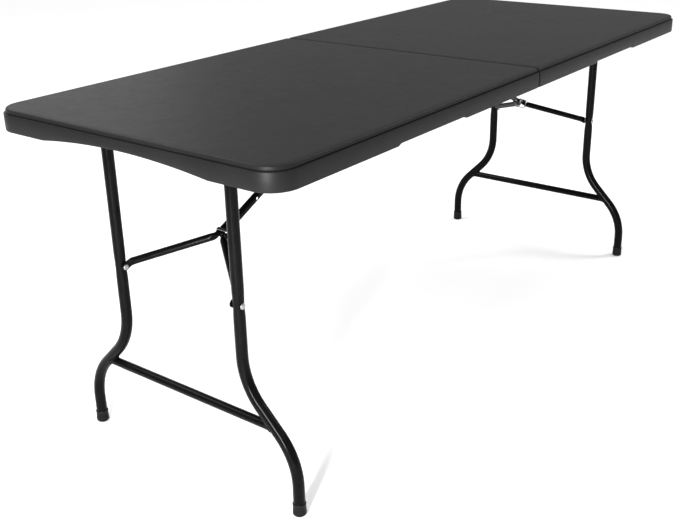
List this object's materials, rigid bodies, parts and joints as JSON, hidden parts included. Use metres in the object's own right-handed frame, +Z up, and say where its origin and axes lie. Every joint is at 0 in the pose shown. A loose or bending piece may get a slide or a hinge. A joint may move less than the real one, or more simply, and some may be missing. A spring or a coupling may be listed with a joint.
{
  "type": "folding table",
  "caption": "Long folding table with a two-part moulded black top hinged at the middle, two wishbone tube legs that fold under it and locking tube braces.",
  "frame": {"origin": "on the floor, under the middle of the open top", "axes": "+X along the top towards the right half, +Y across it towards the back, +Z up"},
  "size_m": [1.8, 0.74, 0.745],
  "materials": {
    "top_plastic": "fine satin grain, moulded",
    "cap_plastic": "smooth satin",
    "handle_plastic": "fine grain",
    "gloss_black_steel": "glossy black powder coat",
    "dark_steel": "satin black powder coat",
    "zinc_steel": "zinc plated",
    "chrome_steel": "bright plated"
  },
  "bodies": {
    "half_left": {"panel_left": "top_plastic", "rail_front_left": "dark_steel", "rail_back_left": "dark_steel", "pivot_brackets_left": "dark_steel", "hinge_leaves_left": "dark_steel", "hinge_pins": "zinc_steel", "link_bracket_left": "dark_steel", "rail_screws_left": "zinc_steel", "handle_pins": "zinc_steel", "latch_pin": "zinc_steel"},
    "half_right": {"panel_right": "top_plastic", "rail_front_right": "dark_steel", "rail_back_right": "dark_steel", "pivot_brackets_right": "dark_steel", "hinge_leaves_right": "dark_steel", "link_bracket_right": "dark_steel", "rail_screws_right": "zinc_steel", "latch_keeper": "dark_steel"},
    "leg_left": {"top_tube_left": "gloss_black_steel", "upright_front_left": "gloss_black_steel", "upright_back_left": "gloss_black_steel", "crossbar_left": "gloss_black_steel", "foot_front_left": "cap_plastic", "foot_back_left": "cap_plastic", "leg_rivets_left": "zinc_steel"},
    "brace_link_left": {"link_left": "gloss_black_steel"},
    "brace_arms_left": {"arm_front_left": "gloss_black_steel", "arm_back_left": "gloss_black_steel", "apex_rivet_left": "zinc_steel"},
    "lock_ring_left": {"lock_ring_left": "chrome_steel"},
    "leg_right": {"top_tube_right": "gloss_black_steel", "upright_front_right": "gloss_black_steel", "upright_back_right": "gloss_black_steel", "crossbar_right": "gloss_black_steel", "foot_front_right": "cap_plastic", "foot_back_right": "cap_plastic", "leg_rivets_right": "zinc_steel"},
    "brace_link_right": {"link_right": "gloss_black_steel"},
    "brace_arms_right": {"arm_front_right": "gloss_black_steel", "arm_back_right": "gloss_black_steel", "apex_rivet_right": "zinc_steel"},
    "lock_ring_right": {"lock_ring_right": "chrome_steel"},
    "carry_handle": {"handle": "handle_plastic"},
    "latch": {"latch": "dark_steel"}
  },
  "joints": [
    {"name": "table_fold", "type": "hinge", "parent": "half_left", "child": "half_right", "pos_m": [0, 0, 0.7], "axis": [0, 1, 0], "range_deg": [0, 90]},
    {"name": "leg_fold_left", "type": "hinge", "parent": "half_left", "child": "leg_left", "pos_m": [-0.792, 0, 0.7122], "axis": [0, -1, 0], "range_deg": [0, 90]},
    {"name": "brace_link_turn_left", "type": "hinge", "parent": "half_left", "child": "brace_link_left", "pos_m": [-0.132, 0, 0.729], "axis": [0, 1, 0], "range_deg": [0, 25.49]},
    {"name": "brace_knee_left", "type": "hinge", "parent": "brace_link_left", "child": "brace_arms_left", "pos_m": [-0.62666, 0, 0.49531], "axis": [0, -1, 0], "range_deg": [0, 175.23]},
    {"name": "lock_ring_slide_left", "type": "slide", "parent": "brace_link_left", "child": "lock_ring_left", "axis": [0.9042, 0, 0.4272], "range_m": [0, 0.2005]},
    {"name": "leg_fold_right", "type": "hinge", "parent": "half_right", "child": "leg_right", "pos_m": [0.792, 0, 0.7122], "axis": [0, 1, 0], "range_deg": [0, 90]},
    {"name": "brace_link_turn_right", "type": "hinge", "parent": "half_right", "child": "brace_link_right", "pos_m": [0.132, 0, 0.729], "axis": [0, -1, 0], "range_deg": [0, 25.49]},
    {"name": "brace_knee_right", "type": "hinge", "parent": "brace_link_right", "child": "brace_arms_right", "pos_m": [0.62666, 0, 0.49531], "axis": [0, 1, 0], "range_deg": [0, 175.23]},
    {"name": "lock_ring_slide_right", "type": "slide", "parent": "brace_link_right", "child": "lock_ring_right", "axis": [-0.9042, 0, 0.4272], "range_m": [0, 0.2005]},
    {"name": "handle_swing", "type": "hinge", "parent": "half_left", "child": "carry_handle", "pos_m": [-0.439, 0.3655, 0.727], "axis": [1, 0, 0], "range_deg": [0, 90]},
    {"name": "latch_turn", "type": "hinge", "parent": "half_left", "child": "latch", "pos_m": [-0.8866, 0, 0.723], "axis": [-1, 0, 0], "range_deg": [0, 90]}
  ],
  "couplings": [
    {"joint": "brace_link_turn_left", "follows": "leg_fold_left", "ratio": 0.28097},
    {"joint": "brace_knee_left", "follows": "leg_fold_left", "ratio": 1.9414},
    {"joint": "lock_ring_slide_left", "follows": "leg_fold_left", "m_per_rad": 0.12732},
    {"joint": "brace_link_turn_right", "follows": "leg_fold_right", "ratio": 0.28097},
    {"joint": "brace_knee_right", "follows": "leg_fold_right", "ratio": 1.9414},
    {"joint": "lock_ring_slide_right", "follows": "leg_fold_right", "m_per_rad": 0.12732}
  ]
}
